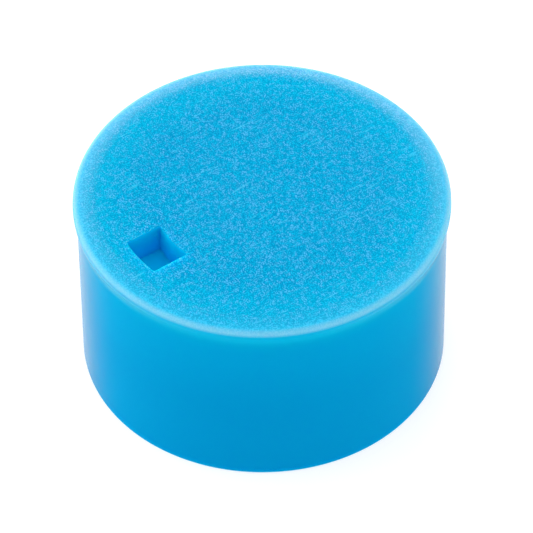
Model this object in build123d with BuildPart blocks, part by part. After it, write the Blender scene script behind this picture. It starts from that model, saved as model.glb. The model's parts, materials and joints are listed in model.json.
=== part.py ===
from build123d import *
import math
import os

# Cap insert: a colour-code plug, pressed into the recess of a vial's screw cap.
# It is one injection moulding. Millimetres, +Z up, origin at the middle of the
# underside, with the pick pocket towards -Y.

# Outside
OVERALL_HEIGHT = 4.74
RIM_DIAMETER = 8.5
RIM_OVERHANG = 0.085  # how far the rim stands proud of the plug's wall, on the radius
RIM_EDGE_RADIUS = 0.15
RIM_LAND = 0.06  # height of the rim's side, under the rounded edge
RIM_DRAFT = 3.0  # degrees that the rim's side leans in towards the top
RIM_BLEND_HEIGHT = 0.26  # height over which the rim runs back to the wall
RIM_SHOULDER_RADIUS = 0.04
RIM_ROOT_RADIUS = 0.8
BOTTOM_EDGE_RADIUS = 0.04

# Pick pocket: a blind hole with four sides, its two ends on circles about the plug's axis
POCKET_DEPTH = 0.73
POCKET_WIDTH = 1.08
POCKET_LENGTH = 0.885
POCKET_EDGE_MARGIN = 0.905  # rim's outer edge to the pocket's outer end
POCKET_CORNER_RADIUS = 0.04

# Cored underside
POCKET_FLOOR = 0.62  # plastic left under the pocket
SKIRT_WALL = 0.95  # at the open end
CORE_DRAFT = 1.0  # degrees a side
CORE_ROOT_RADIUS = 0.3
SKIRT_INNER_EDGE_RADIUS = 0.06

# Marks that the mould leaves on the hidden side of the web
EJECTOR_COUNT = 3
EJECTOR_DIAMETER = 0.9
EJECTOR_MARK_DEPTH = 0.04
EJECTOR_MARGIN = 0.2  # flat web between a mark and the core's root radius
GATE_DIMPLE_DIAMETER = 1.2
GATE_DIMPLE_DEPTH = 0.15
GATE_NUB_DIAMETER = 0.4
GATE_NUB_HEIGHT = 0.1

# Worked out from the sizes above
rim_radius = RIM_DIAMETER / 2
plug_radius = rim_radius - RIM_OVERHANG
rim_side_height = RIM_EDGE_RADIUS + RIM_LAND
rim_shoulder = OVERALL_HEIGHT - rim_side_height
rim_top_radius = rim_radius - rim_side_height * math.tan(math.radians(RIM_DRAFT))
wall_top = rim_shoulder - RIM_BLEND_HEIGHT

pocket_outer_radius = rim_radius - POCKET_EDGE_MARGIN
pocket_inner_radius = pocket_outer_radius - POCKET_LENGTH

web_thickness = POCKET_DEPTH + POCKET_FLOOR
core_depth = OVERALL_HEIGHT - web_thickness
core_mouth_radius = plug_radius - SKIRT_WALL
core_top_radius = core_mouth_radius - core_depth * math.tan(math.radians(CORE_DRAFT))

ejector_radius = EJECTOR_DIAMETER / 2
ejector_circle_radius = core_top_radius - CORE_ROOT_RADIUS - EJECTOR_MARGIN - ejector_radius
gate_dimple_top = core_depth + GATE_DIMPLE_DEPTH

with BuildPart() as cap_insert:
    # Plug and rim, turned about the axis from half of the outside's section
    with BuildSketch(Plane.XZ):
        with BuildLine():
            FilletPolyline(
                (0, 0),
                (plug_radius, 0),
                (plug_radius, wall_top),
                (rim_radius, rim_shoulder),
                (rim_top_radius, OVERALL_HEIGHT),
                (0, OVERALL_HEIGHT),
                radius=(BOTTOM_EDGE_RADIUS, RIM_ROOT_RADIUS, RIM_SHOULDER_RADIUS, RIM_EDGE_RADIUS),
            )
            Line((0, OVERALL_HEIGHT), (0, 0))
        make_face()
    revolve(axis=Axis.Z)

    # Core in the underside, narrower towards the web so that it leaves the mould
    with BuildSketch(Plane.XY):
        Circle(core_mouth_radius)
    extrude(amount=core_depth, taper=CORE_DRAFT, mode=Mode.SUBTRACT)
    core_edges = cap_insert.edges(Select.LAST).filter_by(GeomType.CIRCLE).sort_by(Axis.Z)
    fillet(core_edges[-1], radius=CORE_ROOT_RADIUS)
    skirt_edges = cap_insert.edges().filter_by(GeomType.CIRCLE).group_by(Axis.Z)[0]
    fillet(skirt_edges.sort_by(SortBy.RADIUS)[0], radius=SKIRT_INNER_EDGE_RADIUS)

    # Pick pocket in the top face
    with BuildSketch(Plane.XY.offset(OVERALL_HEIGHT)) as pocket_outline:
        Circle(pocket_outer_radius)
        Circle(pocket_inner_radius, mode=Mode.SUBTRACT)
        with Locations((0, -pocket_outer_radius)):
            Rectangle(POCKET_WIDTH, 2 * pocket_outer_radius, mode=Mode.INTERSECT)
        with Locations((0, pocket_outer_radius)):
            Rectangle(POCKET_WIDTH, 2 * pocket_outer_radius, mode=Mode.SUBTRACT)
        fillet(pocket_outline.vertices(), radius=POCKET_CORNER_RADIUS)
    extrude(amount=-POCKET_DEPTH, mode=Mode.SUBTRACT)

    # Ejector pin marks, clear of the thin web under the pocket
    with BuildSketch(Plane.XY.offset(core_depth)):
        with PolarLocations(ejector_circle_radius, EJECTOR_COUNT, start_angle=90):
            Circle(ejector_radius)
    extrude(amount=EJECTOR_MARK_DEPTH, mode=Mode.SUBTRACT)

    # Gate mark: a dimple that keeps the cut stub below the surface
    with BuildSketch(Plane.XY.offset(core_depth)):
        Circle(GATE_DIMPLE_DIAMETER / 2)
    extrude(amount=GATE_DIMPLE_DEPTH, mode=Mode.SUBTRACT)
    with BuildSketch(Plane.XY.offset(gate_dimple_top)):
        Circle(GATE_NUB_DIAMETER / 2)
    extrude(amount=-GATE_NUB_HEIGHT)

cap_insert.part.label = "cap_insert"

os.makedirs("parts", exist_ok=True)
export_step(cap_insert.part, "parts/cap_insert.step")
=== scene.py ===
"""Looks of a colour-code cap insert: one small blue polypropylene moulding on a pale studio floor."""

import json
import logging
import math
from dataclasses import dataclass, field
from enum import Enum
from typing import Any, Sequence, Union

import bpy
import numpy as np
from mathutils import Matrix, Vector
from mathutils.geometry import delaunay_2d_cdt


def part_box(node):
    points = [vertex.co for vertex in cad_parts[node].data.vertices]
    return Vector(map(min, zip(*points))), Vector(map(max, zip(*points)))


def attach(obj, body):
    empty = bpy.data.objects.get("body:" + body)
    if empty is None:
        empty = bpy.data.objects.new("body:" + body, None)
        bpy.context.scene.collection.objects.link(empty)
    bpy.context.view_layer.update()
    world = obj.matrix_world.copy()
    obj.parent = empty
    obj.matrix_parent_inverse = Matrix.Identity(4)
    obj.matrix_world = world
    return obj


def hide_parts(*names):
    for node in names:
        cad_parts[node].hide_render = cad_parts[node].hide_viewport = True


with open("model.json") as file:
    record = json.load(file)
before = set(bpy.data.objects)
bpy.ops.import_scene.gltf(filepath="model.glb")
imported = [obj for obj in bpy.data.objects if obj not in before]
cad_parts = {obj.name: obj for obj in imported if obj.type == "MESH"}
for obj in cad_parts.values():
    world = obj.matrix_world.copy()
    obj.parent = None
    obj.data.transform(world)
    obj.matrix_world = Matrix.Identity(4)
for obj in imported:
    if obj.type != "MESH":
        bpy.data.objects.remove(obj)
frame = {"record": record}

NODE = "cap_insert"
BODY = "root"
MM = 0.001  # metres
NET_CLEARANCE = 0.55  # least distance from a net's point to a loop's, in net spacings
NET_TOLERANCE = 1e-7
MIX_START, MIX_END, MIX_RESULT = 6, 7, 2  # a Mix node's sockets for colours
WAVE_PITCH = 0.31  # distance between a wave texture's crests at scale 1
LOG = logging.getLogger("cap_insert")

Number = Union[float, "Value"]
Colour = tuple[float, float, float]
Point = tuple[float, float]
Span = tuple[float, float]  # where a smooth step starts and where it ends


# ---------------------------------------------------------------- shader maths


class Value:
    """A socket that carries a number. Sums written with it add Math nodes to its graph."""

    def __init__(self, graph: "Graph", socket: bpy.types.NodeSocket) -> None:
        """Wraps a socket.

        Args:
            graph: the graph that new Math nodes go into.
            socket: the output socket that gives the number.
        """
        self.graph = graph
        self.socket = socket

    def __add__(self, other: Number) -> "Value":
        """self + other."""
        return self.graph.maths("ADD", self, other)

    def __sub__(self, other: Number) -> "Value":
        """self - other."""
        return self.graph.maths("SUBTRACT", self, other)

    def __rsub__(self, other: Number) -> "Value":
        """other - self."""
        return self.graph.maths("SUBTRACT", other, self)

    def __mul__(self, other: Number) -> "Value":
        """self * other."""
        return self.graph.maths("MULTIPLY", self, other)

    __radd__ = __add__
    __rmul__ = __mul__

    def rise(self, low: float, high: float) -> "Value":
        """A smooth step, 0 below low and 1 above high.

        Args:
            low: where the step starts.
            high: where the step ends.

        Returns:
            The step's value.
        """
        settings = {"interpolation_type": "SMOOTHSTEP"}
        inputs = {"Value": self, "From Min": low, "From Max": high}
        return self.graph.value("ShaderNodeMapRange", settings, inputs, "Result")

    def swing(self, amount: float) -> "Value":
        """A noise about 0.5, turned into a change about 0 that is as large as the amount."""
        return (self - 0.5) * amount


class Shade:
    """A socket that carries a colour."""

    def __init__(self, graph: "Graph", socket: bpy.types.NodeSocket) -> None:
        """Wraps a socket.

        Args:
            graph: the graph that new Mix nodes go into.
            socket: the output socket that gives the colour.
        """
        self.graph = graph
        self.socket = socket

    def towards(self, colour: Colour, factor: Value) -> "Shade":
        """This colour where the factor is 0, mixed to the other one where it is 1."""
        return self.graph.blend(self, colour, factor)


class Graph:
    """The node tree of one material."""

    def __init__(self, name: str) -> None:
        """Starts an empty material.

        Args:
            name: the material's name.
        """
        self.material = bpy.data.materials.new(name)
        self.material.use_nodes = True
        self.tree = self.material.node_tree
        self.tree.nodes.clear()

    def node(
        self, kind: str, settings: dict[str, Any], inputs: dict[Union[str, int], Any]
    ) -> bpy.types.Node:
        """Adds a node.

        Args:
            kind: the node's type.
            settings: its properties, set before anything else.
            inputs: its sockets' values or links, by name or by number.

        Returns:
            The new node.
        """
        made = self.tree.nodes.new(kind)
        for name, setting in settings.items():
            setattr(made, name, setting)
        for name, given in inputs.items():
            given = given.socket if isinstance(given, (Value, Shade)) else given
            if isinstance(given, bpy.types.NodeSocket):
                self.tree.links.new(given, made.inputs[name])
            else:
                made.inputs[name].default_value = given
        return made

    def value(
        self,
        kind: str,
        settings: dict[str, Any],
        inputs: dict[Union[str, int], Any],
        output: Union[str, int] = 0,
    ) -> Value:
        """Adds a node and wraps one of its outputs.

        Args:
            kind: the node's type.
            settings: its properties.
            inputs: its sockets' values or links.
            output: the output that is wrapped, by name or by number.

        Returns:
            The output as a Value.
        """
        return Value(self, self.node(kind, settings, inputs).outputs[output])

    def maths(self, operation: str, first: Number, second: Number) -> Value:
        """first and second, put together by a Math node's operation."""
        return self.value("ShaderNodeMath", {"operation": operation}, {0: first, 1: second})

    def blend(self, first: Union[Colour, Shade], second: Colour, factor: Value) -> Shade:
        """Mixes two colours.

        Args:
            first: the colour where the factor is 0.
            second: the colour where the factor is 1.
            factor: the share of the second colour.

        Returns:
            The mixed colour.
        """
        settings = {"data_type": "RGBA", "clamp_factor": True}
        start = first if isinstance(first, Shade) else (*first, 1.0)
        inputs = {"Factor": factor, MIX_START: start, MIX_END: (*second, 1.0)}
        return Shade(self, self.node("ShaderNodeMix", settings, inputs).outputs[MIX_RESULT])

    def place(self) -> bpy.types.NodeSocket:
        """The surface's place in the moulding's own frame, in metres."""
        return self.node("ShaderNodeTexCoord", {}, {}).outputs["Object"]

    def scaled(
        self, place: bpy.types.NodeSocket, scale: tuple[float, float, float]
    ) -> bpy.types.NodeSocket:
        """The place with each of its three measures multiplied."""
        settings = {"operation": "MULTIPLY"}
        return self.node("ShaderNodeVectorMath", settings, {0: place, 1: scale}).outputs[0]

    def noise(self, place: bpy.types.NodeSocket, pitch: float, detail: float = 0.0) -> Value:
        """Soft noise about 0.5.

        Args:
            place: the point where it is read.
            pitch: distance from one bump to the next, in mm.
            detail: how many finer octaves lie on it.

        Returns:
            The noise.
        """
        inputs = {"Vector": place, "Scale": 1 / (pitch * MM), "Detail": detail}
        return self.value("ShaderNodeTexNoise", {}, inputs, "Fac")

    def specks(self, place: bpy.types.NodeSocket, pitch: float) -> Value:
        """Scattered round specks.

        Args:
            place: the point where they are read.
            pitch: distance from one speck to the next, in mm.

        Returns:
            1 at a speck's middle, falling off round it.
        """
        inputs = {"Vector": place, "Scale": 1 / (pitch * MM)}
        return 1 - self.value("ShaderNodeTexVoronoi", {}, inputs, "Distance")

    def facing(self) -> Value:
        """0 where the surface is seen from straight ahead, 1 where it is seen edge on."""
        return self.value("ShaderNodeLayerWeight", {}, {"Blend": 0.5}, "Facing")

    def radius(self, place: bpy.types.NodeSocket) -> Value:
        """How far a point lies from the moulding's upright axis, in mm."""
        level = self.scaled(place, (1.0, 1.0, 0.0))
        settings = {"operation": "LENGTH"}
        return self.value("ShaderNodeVectorMath", settings, {0: level}, "Value") * (1 / MM)

    def height(self, place: bpy.types.NodeSocket) -> Value:
        """How high a point lies above the moulding's underside, in mm."""
        return self.value("ShaderNodeSeparateXYZ", {}, {"Vector": place}, "Z") * (1 / MM)

    def bump(self, height: Value, depth: float) -> bpy.types.NodeSocket:
        """The normal of a fine relief.

        Args:
            height: the relief, from 0 to 1.
            depth: what 1 stands for, in mm.

        Returns:
            The normal.
        """
        inputs = {"Strength": 1.0, "Distance": depth * MM, "Height": height}
        return self.node("ShaderNodeBump", {}, inputs).outputs["Normal"]

    def finish(self, inputs: dict[Union[str, int], Any]) -> bpy.types.Material:
        """Ends the graph with the surface's shader.

        Args:
            inputs: the shader's values and links.

        Returns:
            The finished material.
        """
        shader = self.node("ShaderNodeBsdfPrincipled", {}, inputs)
        self.node("ShaderNodeOutputMaterial", {}, {"Surface": shader.outputs[0]})
        return self.material


# ---------------------------------------------------------------- finishes


class Surface(Enum):
    """The finishes that one moulding has, in the order of its material slots."""

    FACE = 0
    WALL = 1
    POCKET = 2
    CORE = 3


@dataclass(frozen=True)
class Resin:
    """Blue polypropylene: what its body does with light, whatever the surface."""

    index: float = 1.49
    cloudiness: float = 1.0
    light_depth: Colour = (0.08, 0.35, 0.5)  # how far red, green and blue light wander, in mm

    sheen: float = 0.003  # mirror reflection seen from straight ahead; 0.5 is a bare plastic's
    glance: float = 0.50  # share of a bare plastic's reflection at a glancing angle
    glance_rise: Span = (0.60, 0.92)  # where it sets in, as 1 less the cosine of the angle
    skin_roughness: float = 0.15

    def body(self) -> dict[str, Any]:
        """What every finish of this plastic shares.

        Returns:
            The shader's inputs, by name.
        """
        return {
            "IOR": self.index,
            "Specular IOR Level": self.sheen,
            "Subsurface Weight": self.cloudiness,
            "Subsurface Radius": self.light_depth,
            "Subsurface Scale": MM,
            "Coat Roughness": self.skin_roughness,
        }

    def gloss(self, facing: Value) -> Value:
        """Weight of the clear skin that shows at a glancing angle.

        Args:
            facing: 0 where the surface is seen from straight ahead, 1 edge on.

        Returns:
            The weight.
        """
        return facing.rise(*self.glance_rise) * self.glance


@dataclass(frozen=True)
class FaceZones:
    """Where the top face changes: each is 0 outside its zone and 1 inside it."""

    # speck, ring, lip and below also set where painted glints, sheen, a highlight and glow go into
    # the face's colour
    speck: Value  # the grain's peaks
    ring: Value
    worn: Value  # where handling has polished the grain
    smooth: Value  # past the grain's end
    lip: Value
    below: Value  # the rim's side, under its rounded edge


@dataclass(frozen=True)
class FaceFinish:
    """The top face: spark-eroded grain that fades into a smoother ring and the rim's edge."""

    resin: Resin
    rim_radius: float  # in mm, like all the sizes here
    top: float
    edge_radius: float
    ring_width: float

    # painted shade and glints: the grain's hollows are painted darker than the resin and its peaks
    # paler, for the light and shade on its relief
    painted_shade_valley: Colour = (0.0, 0.228, 0.455)
    painted_glint_peak: Colour = (0.004, 0.42, 0.66)
    # painted glints: patches where the glints on the grain's peaks are paler and redder
    painted_glint_haze: Colour = (0.085, 0.375, 0.675)
    scratch: Colour = (0.06, 0.46, 0.68)
    # painted glow: the face is painted paler towards the rim
    painted_glow: Colour = (0.0, 0.62, 0.81)  # light that comes up through the thick skirt
    # painted sheen and glow: the smoother ring is painted paler than the grain, for its faint sheen
    # and light that the thin edge lets through
    ring: Colour = (0.05, 0.505, 0.71)
    # painted highlight on the rim's rounded edge
    lip: Colour = (0.20, 0.49, 0.63)
    # painted glow: the rim's side, painted paler than the wall, for light that comes through the thin
    # edge
    side: Colour = (0.0, 0.345, 0.555)
    skin_tint: Colour = (1.0, 0.86, 0.90)  # the clear skin soaks up a little light

    ring_rise: Span = (0.04, 0.30)  # outwards from the ring's inner edge
    worn_rise: Span = (-0.10, 0.14)  # the same
    smooth_rise: Span = (-0.10, 0.04)  # outwards from where the edge starts to round
    lip_rise: Span = (-0.08, 0.80)  # the same, in edge radii
    side_fall: Span = (0.88, 0.32)  # down from the top, in edge radii
    painted_glow_rise: Span = (2.6, 3.75)  # radii

    speck_pitch: float = 0.044
    speck_part: float = 0.3  # of the grain, the rest being fine noise
    speck_rise: Span = (0.40, 0.66)
    fine_pitch: float = 0.030
    haze_pitch: float = 0.10
    haze_detail: float = 1.0
    haze_rise: Span = (0.42, 0.66)
    relief: float = 0.008
    rub_turns: tuple[float, ...] = (0.5, 2.2)  # radians
    rub_pitch: float = 0.035
    rub_stretch: float = 0.06
    rub_rise: Span = (0.72, 0.78)
    rub_spread: float = 0.8
    rub_spread_rise: Span = (0.5, 0.62)

    painted_glint_haze_share: float = 0.8
    scratch_share: float = 0.5
    painted_glow_share: float = 0.15
    # shares of the ring's painted sheen and glow
    ring_share: float = 0.20  # of the ring's colour in the grain's valleys
    ring_speck_share: float = 0.25  # added on its peaks
    smooth_share: float = 0.2
    lip_highlight_share: float = 0.75
    lip_highlight_speck_share: float = 0.3

    worn_gloss: float = 0.6  # in the grain's valleys
    worn_speck_gloss: float = 0.8  # added on its peaks
    worn_gloss_rise: Span = (0.2, 0.42)  # seen from straight ahead to edge on, 0 to 1
    worn_gloss_fall: Span = (0.55, 0.80)
    worn_glance_loss: float = 0.9
    worn_lip_loss: float = 0.85
    face_glance: float = 0.1  # share of the resin's own gloss that the grain leaves
    ring_glance: float = 0.6  # added in the ring
    lip_glance_loss: float = 0.95
    side_gloss: float = 0.85
    side_gloss_rise: Span = (0.32, 0.52)
    roughness: float = 0.40
    smooth_roughness_loss: float = 0.12

    def material(self) -> bpy.types.Material:
        """Makes the finish.

        Returns:
            The finish as a material.
        """
        graph = Graph("grained_polypropylene")
        place = graph.place()
        radius = graph.radius(place)
        grain = graph.specks(place, self.speck_pitch) * self.speck_part
        grain = grain + graph.noise(place, self.fine_pitch) * (1 - self.speck_part)
        zones = self.zones(radius, graph.height(place), grain)
        return graph.finish(
            {
                **self.resin.body(),
                "Base Color": self.colour(graph, place, radius, zones),
                "Coat Weight": self.gloss(graph.facing(), zones),
                "Coat Tint": (*self.skin_tint, 1.0),
                "Roughness": self.roughness - zones.smooth * self.smooth_roughness_loss,
                "Normal": graph.bump(grain * (1 - zones.smooth), self.relief),
            },
        )

    def zones(self, radius: Value, height: Value, grain: Value) -> FaceZones:
        """Parts the face into its zones.

        Args:
            radius: distance from the moulding's axis.
            height: height above its underside.
            grain: the grain, about 0.5.

        Returns:
            The zones.
        """
        start = self.rim_radius - self.ring_width
        edge = self.rim_radius - self.edge_radius
        lip_from, lip_full = (edge + share * self.edge_radius for share in self.lip_rise)
        side_full, side_from = (self.top - share * self.edge_radius for share in self.side_fall)
        return FaceZones(
            speck=grain.rise(*self.speck_rise),
            ring=(radius - start).rise(*self.ring_rise),
            worn=(radius - start).rise(*self.worn_rise),
            smooth=(radius - edge).rise(*self.smooth_rise),
            lip=radius.rise(lip_from, lip_full),
            below=1 - height.rise(side_full, side_from),
        )

    def colour(
        self, graph: Graph, place: bpy.types.NodeSocket, radius: Value, zones: FaceZones
    ) -> Shade:
        """The face's colour, with painted shade, glints, sheen, glow and highlight.

        Args:
            graph: the finish's graph.
            place: the surface's place.
            radius: distance from the moulding's axis.
            zones: the face's zones.

        Returns:
            The colour.
        """
        painted_glint_haze = graph.noise(place, self.haze_pitch, self.haze_detail).rise(*self.haze_rise)
        painted_ring_sheen = zones.speck * self.ring_speck_share + self.ring_share
        painted_lip_highlight = zones.speck * self.lip_highlight_speck_share + self.lip_highlight_share
        # painted light: shade and glints on the grain, glint patches, glow towards the rim, sheen on
        # the ring, a highlight on the lip and glow on the side; the rubs are real wear
        mixed = graph.blend(self.painted_shade_valley, self.painted_glint_peak, zones.speck)
        mixed = mixed.towards(self.painted_glint_haze, painted_glint_haze * zones.speck * self.painted_glint_haze_share)
        mixed = mixed.towards(self.scratch, self.scratches(graph, place) * self.scratch_share)
        mixed = mixed.towards(self.painted_glow, radius.rise(*self.painted_glow_rise) * self.painted_glow_share)
        mixed = mixed.towards(self.ring, zones.ring * painted_ring_sheen + zones.smooth * self.smooth_share)
        return mixed.towards(self.lip, zones.lip * painted_lip_highlight).towards(self.side, zones.below)

    def gloss(self, facing: Value, zones: FaceZones) -> Value:
        """Weight of the clear skin: faint on the grain, more on the worn ring and the side.

        Args:
            facing: 0 where the surface is seen from straight ahead, 1 edge on.
            zones: the face's zones.

        Returns:
            The weight.
        """
        glance = self.resin.gloss(facing) * (1 - zones.lip * self.lip_glance_loss)
        glance = glance * (zones.ring * self.ring_glance + self.face_glance)
        polish = zones.worn * (1 - zones.lip * self.worn_lip_loss)
        polish = polish * (zones.speck * self.worn_speck_gloss + self.worn_gloss)
        faded = 1 - facing.rise(*self.worn_gloss_fall) * self.worn_glance_loss
        side = facing.rise(*self.side_gloss_rise) * zones.below * self.side_gloss
        return glance + facing.rise(*self.worn_gloss_rise) * faded * polish + side

    def scratches(self, graph: Graph, place: bpy.types.NodeSocket) -> Value:
        """Sparse hairline rubs from handling.

        Args:
            graph: the finish's graph.
            place: the surface's place.

        Returns:
            1 in a rub and 0 elsewhere.
        """
        found: Number = 0.0
        for turn in self.rub_turns:
            inputs = {
                "Vector": place,
                "Rotation": (0.0, 0.0, turn),
                "Scale": (1.0, self.rub_stretch, 1.0),
            }
            drawn = graph.node("ShaderNodeMapping", {"vector_type": "POINT"}, inputs).outputs[0]
            found = graph.noise(drawn, self.rub_pitch).rise(*self.rub_rise) + found
        return found * graph.noise(place, self.rub_spread).rise(*self.rub_spread_rise)


@dataclass(frozen=True)
class WallFinish:
    """The plug's wall: polished steel's smooth satin, faintly drawn upwards."""

    resin: Resin
    shoulder: float  # height of the rim's shoulder, in mm
    # painted shade: the wall is painted darker towards the floor, where less light reaches it
    deep: Colour = (0.0, 0.242, 0.50)
    middle: Colour = (0.0, 0.285, 0.545)
    # painted glow just under the rim, for light that comes through the thin edge
    painted_rim_glow: Colour = (0.0, 0.35, 0.57)
    skin_tint: Colour = (1.0, 0.55, 0.60)  # the clear skin soaks up a little light
    low: float = 1.8
    painted_glow_rise: Span = (-0.6, 0.1)  # up from the shoulder
    painted_glow_gloss_loss: float = 0.75
    draw_pitch: float = 0.11
    draw_stretch: float = 0.06
    draw_share: float = 0.04
    cloud_pitch: float = 1.3
    cloud_share: float = 0.16
    detail: float = 2.0
    roughness: float = 0.24
    cloud_roughness: float = 0.08
    draw_roughness: float = 0.04
    relief: float = 0.0006
    cloud_relief: float = 0.5

    def material(self) -> bpy.types.Material:
        """Makes the finish.

        Returns:
            The finish as a material.
        """
        graph = Graph("satin_polypropylene")
        place = graph.place()
        height = graph.height(place)
        drawn = graph.scaled(place, (1.0, 1.0, self.draw_stretch))
        streaks = graph.noise(drawn, self.draw_pitch, self.detail)
        clouds = graph.noise(place, self.cloud_pitch, self.detail)
        # painted shade, lifting with height, and painted glow just under the rim
        rising = height.rise(self.low, self.shoulder) + clouds.swing(self.cloud_share)
        painted_glow = (height - self.shoulder).rise(*self.painted_glow_rise) + streaks.swing(self.draw_share)
        matt = clouds * self.cloud_roughness + streaks * self.draw_roughness
        colour = graph.blend(self.deep, self.middle, rising).towards(self.painted_rim_glow, painted_glow)
        return graph.finish(
            {
                **self.resin.body(),
                "Base Color": colour,
                "Coat Weight": self.resin.gloss(graph.facing()) * (1 - painted_glow * self.painted_glow_gloss_loss),
                "Coat Tint": (*self.skin_tint, 1.0),
                "Roughness": self.roughness + matt,
                "Normal": graph.bump(streaks + clouds * self.cloud_relief, self.relief),
            },
        )


@dataclass(frozen=True)
class PocketFinish:
    """The pick pocket: smooth walls painted paler than the resin for light that comes through them,
    and a deeper painted blue towards the floor for light that bounces in the recess.
    """

    resin: Resin
    top: float  # in mm
    depth: float
    # painted light: all three colours are paler than the resin, for light that comes through the thin
    # walls; the deep one is bluer, for light that bounces in the recess
    deep: Colour = (0.0, 0.44, 0.86)
    mouth: Colour = (0.0, 0.43, 0.68)
    floor: Colour = (0.0, 0.49, 0.81)
    opening_share: float = 0.9  # of the depth, from the mouth down
    floor_corner: float = 0.03
    cloud_pitch: float = 0.25
    cloud_share: float = 0.2
    detail: float = 3.0
    roughness: float = 0.34
    cloud_roughness: float = 0.12
    relief: float = 0.002

    def material(self) -> bpy.types.Material:
        """Makes the finish.

        Returns:
            The finish as a material.
        """
        graph = Graph("pocket_polypropylene")
        place = graph.place()
        height = graph.height(place)
        clouds = graph.noise(place, self.cloud_pitch, self.detail)
        # painted light and shade down the walls, and the paler painted floor
        opening = height.rise(self.top - self.depth * self.opening_share, self.top)
        opening = opening + clouds.swing(self.cloud_share)
        floor = self.top - self.depth
        level = 1 - height.rise(floor, floor + self.floor_corner)
        return graph.finish(
            {
                **self.resin.body(),
                "Base Color": graph.blend(self.deep, self.mouth, opening).towards(self.floor, level),
                "Coat Weight": self.resin.gloss(graph.facing()),
                "Roughness": self.roughness + clouds * self.cloud_roughness,
                "Normal": graph.bump(clouds, self.relief),
            },
        )


@dataclass(frozen=True)
class CoreFinish:
    """The underside: plain machined core steel, a little duller than the wall."""

    resin: Resin
    deep: Colour = (0.0, 0.25, 0.55)
    pale: Colour = (0.0, 0.33, 0.62)
    tool_pitch: float = 0.09  # in mm
    tool_waver: float = 0.6
    tool_relief: float = 0.6
    cloud_pitch: float = 0.8
    cloud_relief: float = 0.4
    detail: float = 2.0
    roughness: float = 0.36
    cloud_roughness: float = 0.12
    relief: float = 0.0015

    def material(self) -> bpy.types.Material:
        """Makes the finish.

        Returns:
            The finish as a material.
        """
        graph = Graph("cored_polypropylene")
        place = graph.place()
        rings = graph.value(
            "ShaderNodeTexWave",
            {"wave_type": "RINGS", "rings_direction": "Z", "wave_profile": "SIN"},
            {
                "Vector": place,
                "Scale": WAVE_PITCH / (self.tool_pitch * MM),
                "Distortion": self.tool_waver,
            },
            "Fac",
        )
        clouds = graph.noise(place, self.cloud_pitch, self.detail)
        relief = rings * self.tool_relief + clouds * self.cloud_relief
        return graph.finish(
            {
                **self.resin.body(),
                "Base Color": graph.blend(self.deep, self.pale, clouds),
                "Coat Weight": self.resin.gloss(graph.facing()),
                "Roughness": self.roughness + clouds * self.cloud_roughness,
                "Normal": graph.bump(relief, self.relief),
            },
        )


@dataclass(frozen=True)
class FloorFinish:
    """The pale studio floor."""

    colour: Colour = (0.55, 0.55, 0.55)
    roughness: float = 0.9
    back_light: float = 1.0

    def material(self) -> bpy.types.Material:
        """Makes the finish.

        Returns:
            The finish as a material.
        """
        graph = Graph("pale_floor")
        return graph.finish(
            {
                "Base Color": (*self.colour, 1.0),
                "Roughness": self.roughness,
                "Specular IOR Level": 0.0,
                "Emission Color": (*self.colour, 1.0),
                "Emission Strength": self.back_light,
            },
        )


# ---------------------------------------------------------------- shapes


@dataclass(frozen=True)
class Corner:
    """A corner of an outline, with the radius that rounds it."""

    place: Point
    radius: float = 0.0


def rounded(corners: Sequence[Corner], steps: int, hold: float) -> list[Point]:
    """An open outline with its inner corners rounded.

    Args:
        corners: the outline's corners, in order. The first and last are its ends.
        steps: how many straight pieces make each rounded corner.
        hold: length of the short straight piece kept on each side of a rounded corner.

    Returns:
        The outline's points.
    """
    points = [corners[0].place]
    for before, corner, after in zip(corners, corners[1:], corners[2:]):
        middle = Vector(corner.place)
        back = (Vector(before.place) - middle).normalized()
        ahead = (Vector(after.place) - middle).normalized()
        half = back.angle(ahead) / 2
        reach = corner.radius / math.tan(half)
        centre = middle + (back + ahead).normalized() * corner.radius / math.sin(half)
        start = middle + back * reach - centre
        turn = math.pi - 2 * half
        side = -math.copysign(1.0, back.cross(ahead))
        points.append(tuple(middle + back * (reach + hold)))
        for i in range(steps + 1):
            angle = side * turn * i / steps
            cos, sin = math.cos(angle), math.sin(angle)
            spoke = Vector((start.x * cos - start.y * sin, start.x * sin + start.y * cos))
            points.append(tuple(centre + spoke))
        points.append(tuple(middle + ahead * (reach + hold)))
    points.append(corners[-1].place)
    return points


def divided(points: Sequence[Point], longest: float) -> list[Point]:
    """The same outline with its long straight pieces cut into equal ones.

    Args:
        points: the outline.
        longest: no piece is longer than this.

    Returns:
        The outline's points, with the new ones between.
    """
    result = [points[0]]
    for a, b in zip(points, points[1:]):
        pieces = max(1, math.ceil(math.dist(a, b) / longest))
        result += [
            (a[0] + (b[0] - a[0]) * i / pieces, a[1] + (b[1] - a[1]) * i / pieces)
            for i in range(1, pieces + 1)
        ]
    return result


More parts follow.
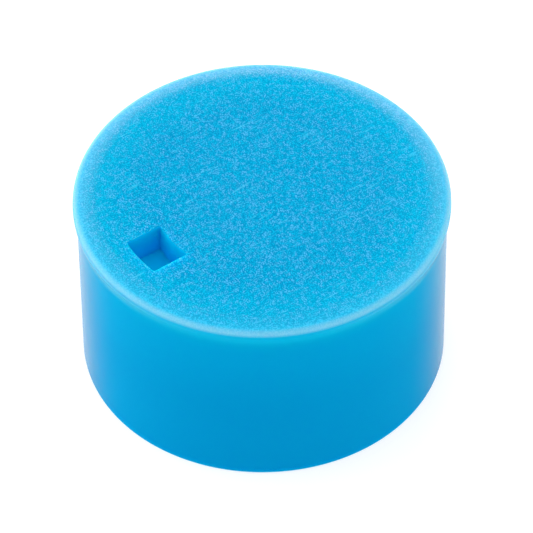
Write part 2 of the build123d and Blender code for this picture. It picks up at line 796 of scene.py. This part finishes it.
@dataclass
class Skin:
    """The points and faces of one closed skin, in millimetres, collected piece by piece."""

    points: list[tuple[float, float, float]] = field(default_factory=list)
    faces: list[tuple[int, ...]] = field(default_factory=list)
    finishes: list[int] = field(default_factory=list)

    def ring(self, outline: Sequence[Point], height: float) -> list[int]:
        """Adds a level loop of points.

        Args:
            outline: the loop seen from above, anticlockwise.
            height: its height.

        Returns:
            The new points' numbers.
        """
        start = len(self.points)
        self.points += [(x, y, height) for x, y in outline]
        return list(range(start, len(self.points)))

    def face(self, corners: Sequence[int], finish: Surface) -> None:
        """Adds one face, anticlockwise as seen from outside."""
        self.faces.append(tuple(corners))
        self.finishes.append(finish.value)

    def join(self, first: Sequence[int], second: Sequence[int], finish: Surface) -> None:
        """Fills between two loops of equal count.

        Args:
            first: the loop that is the outer one when the band is seen facing up.
            second: the other loop.
            finish: the finish of the new faces.
        """
        for i, corner in enumerate(first):
            after = (i + 1) % len(first)
            self.face((corner, first[after], second[after], second[i]), finish)

    def cap(self, loop: Sequence[int], middle: Point, finish: Surface, upwards: bool) -> None:
        """Closes a small loop with triangles.

        Args:
            loop: the loop's points.
            middle: a point inside it that the triangles meet at.
            finish: the finish of the new faces.
            upwards: whether they face up.
        """
        (centre,) = self.ring([middle], self.points[loop[0]][2])
        for i, corner in enumerate(loop):
            after = loop[(i + 1) % len(loop)]
            self.face((corner, after, centre) if upwards else (after, corner, centre), finish)

    def sheet(
        self,
        border: Sequence[int],
        holes: Sequence[Sequence[int]],
        spacing: float,
        finish: Surface,
        upwards: bool,
    ) -> list[int]:
        """Fills a level round area with an even net of triangles.

        Args:
            border: the loop round it.
            holes: the loops of its holes.
            spacing: distance between the net's points.
            finish: the finish of the new faces.
            upwards: whether the area faces up.

        Returns:
            The numbers of the net's new points.
        """
        level = self.points[border[0]][2]
        loops = [np.array([self.points[i][:2] for i in loop]) for loop in (border, *holes)]
        net = hexagonal_net(float(loops[0].max()), spacing)
        net = net[inside(net, loops[0])]
        for loop in loops[1:]:
            net = net[~inside(net, loop)]
        for corner in np.concatenate(loops):
            net = net[np.hypot(*(net - corner).T) > NET_CLEARANCE * spacing]
        fixed = [i for loop in (border, *holes) for i in loop]
        edges: list[tuple[int, int]] = []
        for loop in loops:
            start, count = len(edges), len(loop)
            edges += [(start + i, start + (i + 1) % count) for i in range(count)]
        flat = [Vector(place) for place in np.concatenate([*loops, net])]
        found = delaunay_2d_cdt(flat, edges, [], 0, NET_TOLERANCE)
        added = self.ring(net.tolist(), level)
        numbers = fixed + added
        own = [numbers[sources[0]] for sources in found[3]]
        places = np.array([tuple(place) for place in found[0]])
        triangles = np.array([tuple(corners) for corners in found[2]])
        middles = places[triangles].mean(axis=1)
        kept = ~np.any([inside(middles, loop) for loop in loops[1:]], axis=0)
        for corners in triangles[kept]:
            turned = corners if upwards else corners[::-1]
            self.face([own[i] for i in turned], finish)
        return added

    def mesh(self, name: str) -> bpy.types.Mesh:
        """Makes the skin's mesh.

        Args:
            name: the mesh's name.

        Returns:
            The smooth-shaded mesh, in metres.
        """
        mesh = bpy.data.meshes.new(name)
        mesh.from_pydata(self.points, [], self.faces)
        mesh.transform(Matrix.Scale(MM, 4))
        mesh.polygons.foreach_set("material_index", self.finishes)
        mesh.polygons.foreach_set("use_smooth", [True] * len(self.faces))
        mesh.update()
        return mesh


@dataclass(frozen=True)
class SparkGrain:
    """The coarse part of the top face's grain, as real relief. Sizes in millimetres."""

    pitch: float = 0.11
    spread: float = 0.35
    height: float = 0.0012
    cell: float = 0.0166
    cells: int = 576
    seed: int = 11

    def heights(self, places: np.ndarray) -> np.ndarray:
        """How far the grain stands out at some points.

        Args:
            places: the points' x and y.

        Returns:
            One height for each point, about 0.
        """
        white = np.random.default_rng(self.seed).standard_normal((self.cells, self.cells))
        waves = np.fft.fftfreq(self.cells, self.cell)
        length = np.hypot(waves[:, None], waves[None, :])
        band = np.exp(-(((length * self.pitch - 1) / self.spread) ** 2))
        relief = np.fft.ifft2(np.fft.fft2(white) * band).real
        relief *= self.height / relief.std()
        spot = places / self.cell
        low = np.floor(spot).astype(int)
        share = spot - low
        total = np.zeros(len(places))
        for dx in (0, 1):
            for dy in (0, 1):
                weight = np.abs(1 - dx - share[:, 0]) * np.abs(1 - dy - share[:, 1])
                column, row = (low[:, 0] + dx) % self.cells, (low[:, 1] + dy) % self.cells
                total += weight * relief[column, row]
        return total


@dataclass(frozen=True)
class PickPocket:
    """The blind pocket that a pick or a needle lifts the insert by. Sizes in millimetres."""

    inner_radius: float = 2.46
    outer_radius: float = 3.345
    width: float = 1.08
    depth: float = 0.73
    corner: float = 0.04
    least_corner: float = 0.002
    lip: float = 0.018
    face_finish_depth: float = 0.0216  # how far the face's finish turns into the mouth
    floor_corner: float = 0.03
    narrowing: float = 0.012
    floor_closing: float = 0.38
    longest: float = 0.12
    hold: float = 0.006
    arc_steps: int = 14
    corner_steps: int = 4
    side_steps: int = 10

    def end(self, outwards: bool, inset: float) -> list[Point]:
        """One curved end with its two rounded corners, anticlockwise.

        Args:
            outwards: whether it is the end nearer the rim.
            inset: how far the outline lies inside the pocket's own.

        Returns:
            The end's points.
        """
        sign = 1 if outwards else -1
        radius = self.outer_radius - inset if outwards else self.inner_radius + inset
        corner = max(self.corner - inset, self.least_corner)
        across = self.width / 2 - inset - corner
        reach = radius - sign * corner
        middle = (across, -math.sqrt(reach**2 - across**2))
        to_arc = math.atan2(sign * middle[1], sign * middle[0])
        sweep = math.asin(across / reach)
        turns = np.linspace(to_arc, 0, self.corner_steps + 1)
        lean = np.linspace(-sweep, sweep, self.arc_steps + 1)[1:-1]
        right = [
            (middle[0] + corner * math.cos(a), middle[1] + corner * math.sin(a)) for a in turns
        ]
        left = [(-x, y) for x, y in reversed(right)]
        arc = [(radius * math.sin(a), -radius * math.cos(a)) for a in lean]
        whole = left + arc + right
        return whole if outwards else whole[::-1]

    def outline(self, inset: float) -> list[Point]:
        """The whole pocket seen from above, anticlockwise.

        Args:
            inset: how far the outline lies inside the pocket's own.

        Returns:
            The outline's points, as many for any inset.
        """
        ends = [self.end(True, inset), self.end(False, inset)]
        loop: list[Point] = []
        for one, other in (ends, ends[::-1]):
            last, first = Vector(one[-1]), Vector(other[0])
            shares = [i / self.side_steps for i in range(1, self.side_steps)]
            loop += one + [tuple(last.lerp(first, share)) for share in shares]
        return loop

    def mouth(self, skin: Skin, top: float) -> list[int]:
        """Adds the pocket's walls and floor.

        Args:
            skin: the skin that they join.
            top: height of the face that the pocket is sunk in.

        Returns:
            The loop round the pocket's mouth.
        """
        floor = top - self.depth
        corners = [
            Corner((-2 * self.lip, top)),
            Corner((0, top), self.lip),
            Corner((self.narrowing, floor), self.floor_corner),
            Corner((self.floor_closing, floor)),
        ]
        profile = divided(rounded(corners, self.corner_steps, self.hold), self.longest)
        loops = [skin.ring(self.outline(inset), height) for inset, height in profile]
        for (_, height), outer, inner in zip(profile[1:], loops, loops[1:]):
            at_face = height > top - self.face_finish_depth
            skin.join(outer, inner, Surface.FACE if at_face else Surface.POCKET)
        middle = (0, -(self.inner_radius + self.outer_radius) / 2)
        skin.cap(loops[-1], middle, Surface.POCKET, upwards=True)
        return loops[0]


@dataclass(frozen=True)
class MouldMark:
    """A round mark that the mould leaves in the underside of the web. Sizes in millimetres."""

    middle: Point
    radius: float
    depth: float
    nub_radius: float = 0.0
    nub_height: float = 0.0
    nub_taper: float = 0.8  # the nub's end over its foot
    closing: float = 0.3  # the loop that the end's triangles start at, over the nub's foot
    margin: float = 0.036  # flat ring kept round the mark
    edge: float = 0.012
    edge_steps: int = 3
    hold: float = 0.002
    count: int = 56

    def recess(self, skin: Skin, level: float) -> list[int]:
        """Adds the mark's walls and end.

        Args:
            skin: the skin that they join.
            level: height of the face that the mark is in.

        Returns:
            The loop round the mark.
        """
        end = level + self.depth
        corners = [
            Corner((self.radius + self.margin, level)),
            Corner((self.radius, level), self.edge),
            Corner((self.radius, end), self.edge),
        ]
        if self.nub_radius:
            corners.append(Corner((self.nub_radius, end), self.edge))
            nub_end = (self.nub_radius * self.nub_taper, end - self.nub_height)
            corners.append(Corner(nub_end, self.edge))
        corners.append(Corner((self.nub_radius * self.closing + self.edge, corners[-1].place[1])))
        profile = rounded(corners, self.edge_steps, self.hold)
        loops = [skin.ring(circle(r, self.count, self.middle), z) for r, z in profile]
        for outer, inner in zip(loops, loops[1:]):
            skin.join(inner, outer, Surface.CORE)
        skin.cap(loops[-1], self.middle, Surface.CORE, upwards=False)
        return loops[0]


@dataclass(frozen=True)
class CapInsert:
    """The whole moulding, built to the frame's outside sizes. Sizes in millimetres."""

    rim_radius: float
    height: float
    plug_radius: float
    edge_radius: float = 0.15
    rim_side: float = 0.21
    rim_draft: float = 3.0  # degrees
    rim_blend: float = 0.26
    ring_width: float = 0.50
    ring_blend: float = 0.10
    crown_start: float = 0.12
    crown_drop: float = 0.030
    crown_radius: float = 1.6
    shoulder_radius: float = 0.04
    root_radius: float = 0.8
    bottom_radius: float = 0.04
    skirt_wall: float = 0.95
    skirt_inner_radius: float = 0.06
    web: float = 1.35
    core_draft: float = 1.0  # degrees
    core_root_radius: float = 0.3
    ejector_radius: float = 0.45
    ejector_depth: float = 0.04
    ejector_margin: float = 0.2
    ejector_count: int = 3
    gate: MouldMark = MouldMark((0.0, 0.0), radius=0.6, depth=0.15, nub_radius=0.2, nub_height=0.1)
    points_round: int = 400
    corner_steps: int = 6
    hold: float = 0.012
    longest: float = 0.5
    net: float = 0.031
    web_net: float = 0.12
    pocket: PickPocket = PickPocket()
    grain: SparkGrain = SparkGrain()

    @classmethod
    def from_frame(cls) -> "CapInsert":
        """Reads the outside sizes from the frame.

        Returns:
            The moulding.
        """
        low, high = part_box(NODE)
        mounts = {mount["name"]: mount for mount in frame["record"]["mounts"]}
        return cls(
            rim_radius=high.x / MM,
            height=(high.z - low.z) / MM,
            plug_radius=mounts["plug_wall"]["dims"]["r_mm"],
        )

    @property
    def shoulder(self) -> float:
        """Height of the rim's widest edge."""
        return self.height - self.rim_side

    @property
    def rim_top_radius(self) -> float:
        """Radius of the rim's top corner, before it is rounded."""
        return self.rim_radius - self.rim_side * math.tan(math.radians(self.rim_draft))

    @property
    def face_radius(self) -> float:
        """Radius of the grained face, inside the ring."""
        return self.rim_radius - self.ring_width

    @property
    def core_depth(self) -> float:
        """Height of the web's underside."""
        return self.height - self.web

    def section(self) -> list[Point]:
        """Half of the section, from the top face over the rim and the skirt to the web.

        Returns:
            The section's points, as distance from the axis and height.
        """
        mouth = self.plug_radius - self.skirt_wall
        inner = mouth - self.core_depth * math.tan(math.radians(self.core_draft))
        corners = [
            Corner((self.face_radius, self.height)),
            Corner((self.face_radius + self.crown_start, self.height), self.crown_radius),
            Corner((self.rim_top_radius, self.height - self.crown_drop), self.edge_radius),
            Corner((self.rim_radius, self.shoulder), self.shoulder_radius),
            Corner((self.plug_radius, self.shoulder - self.rim_blend), self.root_radius),
            Corner((self.plug_radius, 0), self.bottom_radius),
            Corner((mouth, 0), self.skirt_inner_radius),
            Corner((inner, self.core_depth), self.core_root_radius),
            Corner((inner - self.core_root_radius - 2 * self.hold, self.core_depth)),
        ]
        return divided(rounded(corners, self.corner_steps, self.hold), self.longest)

    def marks(self, web_radius: float) -> list[MouldMark]:
        """The gate's dimple and the ejector pins' marks.

        Args:
            web_radius: radius of the web's flat underside.

        Returns:
            The marks.
        """
        reach = web_radius - self.ejector_margin - self.ejector_radius
        found = [self.gate]
        for i in range(self.ejector_count):
            angle = math.pi / 2 + 2 * math.pi * i / self.ejector_count
            place = (reach * math.cos(angle), reach * math.sin(angle))
            found.append(MouldMark(place, self.ejector_radius, self.ejector_depth))
        return found

    def build(self) -> bpy.types.Object:
        """Builds the moulding.

        Returns:
            The moulding as one closed mesh.
        """
        skin = Skin()
        section = self.section()
        loops = [skin.ring(circle(r, self.points_round), z) for r, z in section]
        mouth = self.plug_radius - self.skirt_wall
        for (radius, height), upper, lower in zip(section[1:], loops, loops[1:]):
            if height > self.shoulder:
                finish = Surface.FACE
            elif radius < mouth:
                finish = Surface.CORE
            else:
                finish = Surface.WALL
            skin.join(lower, upper, finish)
        pocket = self.pocket.mouth(skin, self.height)
        face = skin.sheet(loops[0], [pocket], self.net, Surface.FACE, upwards=True)
        marks = [mark.recess(skin, self.core_depth) for mark in self.marks(section[-1][0])]
        skin.sheet(loops[-1], marks, self.web_net, Surface.CORE, upwards=False)
        self.roughen(skin, face)
        return bpy.data.objects.new("moulded_insert", skin.mesh("moulded_insert"))

    def roughen(self, skin: Skin, numbers: Sequence[int]) -> None:
        """Raises the grain on the top face, fading out just inside the rim.

        Args:
            skin: the moulding's skin.
            numbers: the top face's points.
        """
        places = np.array([skin.points[i][:2] for i in numbers])
        fade = np.clip((self.face_radius - np.hypot(*places.T)) / self.ring_blend, 0, 1)
        heights = self.grain.heights(places) * fade
        for i, (x, y), rise in zip(numbers, places, heights):
            skin.points[i] = (x, y, self.height + rise)

    def dress(self, piece: bpy.types.Object) -> None:
        """Gives the moulding its finishes, in the order of the Surface options.

        Args:
            piece: the moulding.
        """
        resin = Resin()
        edge_top = self.height - self.crown_drop
        finishes = (
            FaceFinish(resin, self.rim_radius, edge_top, self.edge_radius, self.ring_width),
            WallFinish(resin, self.shoulder),
            PocketFinish(resin, self.height, self.pocket.depth),
            CoreFinish(resin),
        )
        for finish in finishes:
            piece.data.materials.append(finish.material())


def circle(radius: float, count: int, middle: Point = (0.0, 0.0)) -> list[Point]:
    """Points evenly round a circle, anticlockwise."""
    angles = [2 * math.pi * i / count for i in range(count)]
    return [(middle[0] + radius * math.cos(a), middle[1] + radius * math.sin(a)) for a in angles]


def hexagonal_net(reach: float, spacing: float) -> np.ndarray:
    """Points of an even triangular net over a square.

    Args:
        reach: half of the square's side.
        spacing: distance between neighbours.

    Returns:
        The points.
    """
    x, y = np.meshgrid(
        np.arange(-reach, reach, spacing), np.arange(-reach, reach, spacing * math.sqrt(3) / 2)
    )
    x[1::2] += spacing / 2
    return np.column_stack([x.ravel(), y.ravel()])


def inside(places: np.ndarray, loop: np.ndarray) -> np.ndarray:
    """Which points lie inside a loop.

    Args:
        places: the points.
        loop: the loop's corners, in order.

    Returns:
        True for each point inside.
    """
    x, y = places.T
    odd = np.zeros(len(places), bool)
    for (ax, ay), (bx, by) in zip(loop, np.roll(loop, -1, axis=0)):
        if ay != by:
            crosses = (ay > y) != (by > y)
            odd ^= crosses & (x < (bx - ax) * (y - ay) / (by - ay) + ax)
    return odd


# ---------------------------------------------------------------- studio


@dataclass(frozen=True)
class Softbox:
    """A large soft lamp. Sizes in metres, angles in degrees."""

    name: str
    azimuth: float
    elevation: float
    distance: float
    size: float
    power: float

    def build(self, target: Vector) -> None:
        """Hangs the lamp.

        Args:
            target: the point that it faces.
        """
        data = bpy.data.lights.new(self.name, "AREA")
        data.shape = "SQUARE"
        data.size = self.size
        data.energy = self.power
        lamp = bpy.data.objects.new(self.name, data)
        away = direction(self.azimuth, self.elevation)
        lamp.location = target + away * self.distance
        lamp.rotation_euler = away.to_track_quat("Z", "Y").to_euler()
        bpy.context.scene.collection.objects.link(lamp)


@dataclass(frozen=True)
class Studio:
    """The floor, the light and the camera. Lengths in metres, angles in degrees."""

    azimuth: float = 55.02
    elevation: float = 46.72
    roll: float = -0.70
    lens: float = 315.3
    distance: float = 0.10625
    shift: Point = (0.0069, -0.0003)
    near: float = 0.01  # nothing closer to the camera shows
    floor_size: float = 3.0
    sky: float = 1.17
    sky_colour: Colour = (1.0, 1.0, 1.0)
    lamps: tuple[Softbox, ...] = (
        Softbox("key_softbox", azimuth=-55.0, elevation=26.0, distance=0.9, size=0.8, power=3.2),
        Softbox("back_softbox", azimuth=243.0, elevation=33.0, distance=0.9, size=0.6, power=2.1),
    )

    def build(self) -> None:
        """Builds the studio round the frame."""
        low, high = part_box(NODE)
        middle = (low + high) / 2
        self.lay_floor(low.z)
        self.light(middle)
        self.set_camera(middle)

    def lay_floor(self, level: float) -> None:
        """Lays a plain pale floor.

        Args:
            level: its height.
        """
        half = self.floor_size / 2
        corners = [(x * half, y * half, level) for x, y in ((-1, -1), (1, -1), (1, 1), (-1, 1))]
        mesh = bpy.data.meshes.new("floor")
        mesh.from_pydata(corners, [], [(0, 1, 2, 3)])
        mesh.materials.append(FloorFinish().material())
        floor = bpy.data.objects.new("floor", mesh)
        bpy.context.scene.collection.objects.link(floor)

    def light(self, middle: Vector) -> None:
        """Lights the studio with an even sky and soft lamps.

        Args:
            middle: the point that the lamps face.
        """
        world = bpy.data.worlds.new("white_tent")
        world.use_nodes = True
        sky = world.node_tree.nodes["Background"]
        sky.inputs["Color"].default_value = (*self.sky_colour, 1.0)
        sky.inputs["Strength"].default_value = self.sky
        bpy.context.scene.world = world
        for lamp in self.lamps:
            lamp.build(middle)

    def set_camera(self, middle: Vector) -> None:
        """Sets the camera at the object's usual viewing angle.

        Args:
            middle: the point that the camera looks at.
        """
        data = bpy.data.cameras.new("camera")
        data.lens = self.lens
        data.shift_x, data.shift_y = self.shift
        data.clip_start = self.near
        camera = bpy.data.objects.new("camera", data)
        back = direction(self.azimuth, self.elevation)
        camera.location = middle + back * self.distance
        turn = Matrix.Rotation(math.radians(self.roll), 3, back)
        camera.rotation_euler = (turn @ back.to_track_quat("Z", "Y").to_matrix()).to_euler()
        bpy.context.scene.collection.objects.link(camera)
        bpy.context.scene.camera = camera
        bpy.context.scene.view_settings.view_transform = "Standard"


def direction(azimuth: float, elevation: float) -> Vector:
    """The way from the object to a place round it.

    Args:
        azimuth: degrees round it from -Y towards +X.
        elevation: degrees above the floor.

    Returns:
        A vector of length 1.
    """
    a, e = math.radians(azimuth), math.radians(elevation)
    return Vector((math.sin(a) * math.cos(e), -math.cos(a) * math.cos(e), math.sin(e)))


def main() -> None:
    """Builds the studio and the insert, and reports what was made."""
    logging.basicConfig(level=logging.INFO, format="%(name)s: %(message)s")
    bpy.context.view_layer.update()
    Studio().build()
    insert = CapInsert.from_frame()
    piece = insert.build()
    bpy.context.scene.collection.objects.link(piece)
    insert.dress(piece)
    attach(piece, BODY)
    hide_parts(NODE)
    triangles = sum(len(face.vertices) - 2 for face in piece.data.polygons)
    LOG.info("%s: %d points, %d triangles", piece.name, len(piece.data.vertices), triangles)


if __name__ == "__main__":
    main()
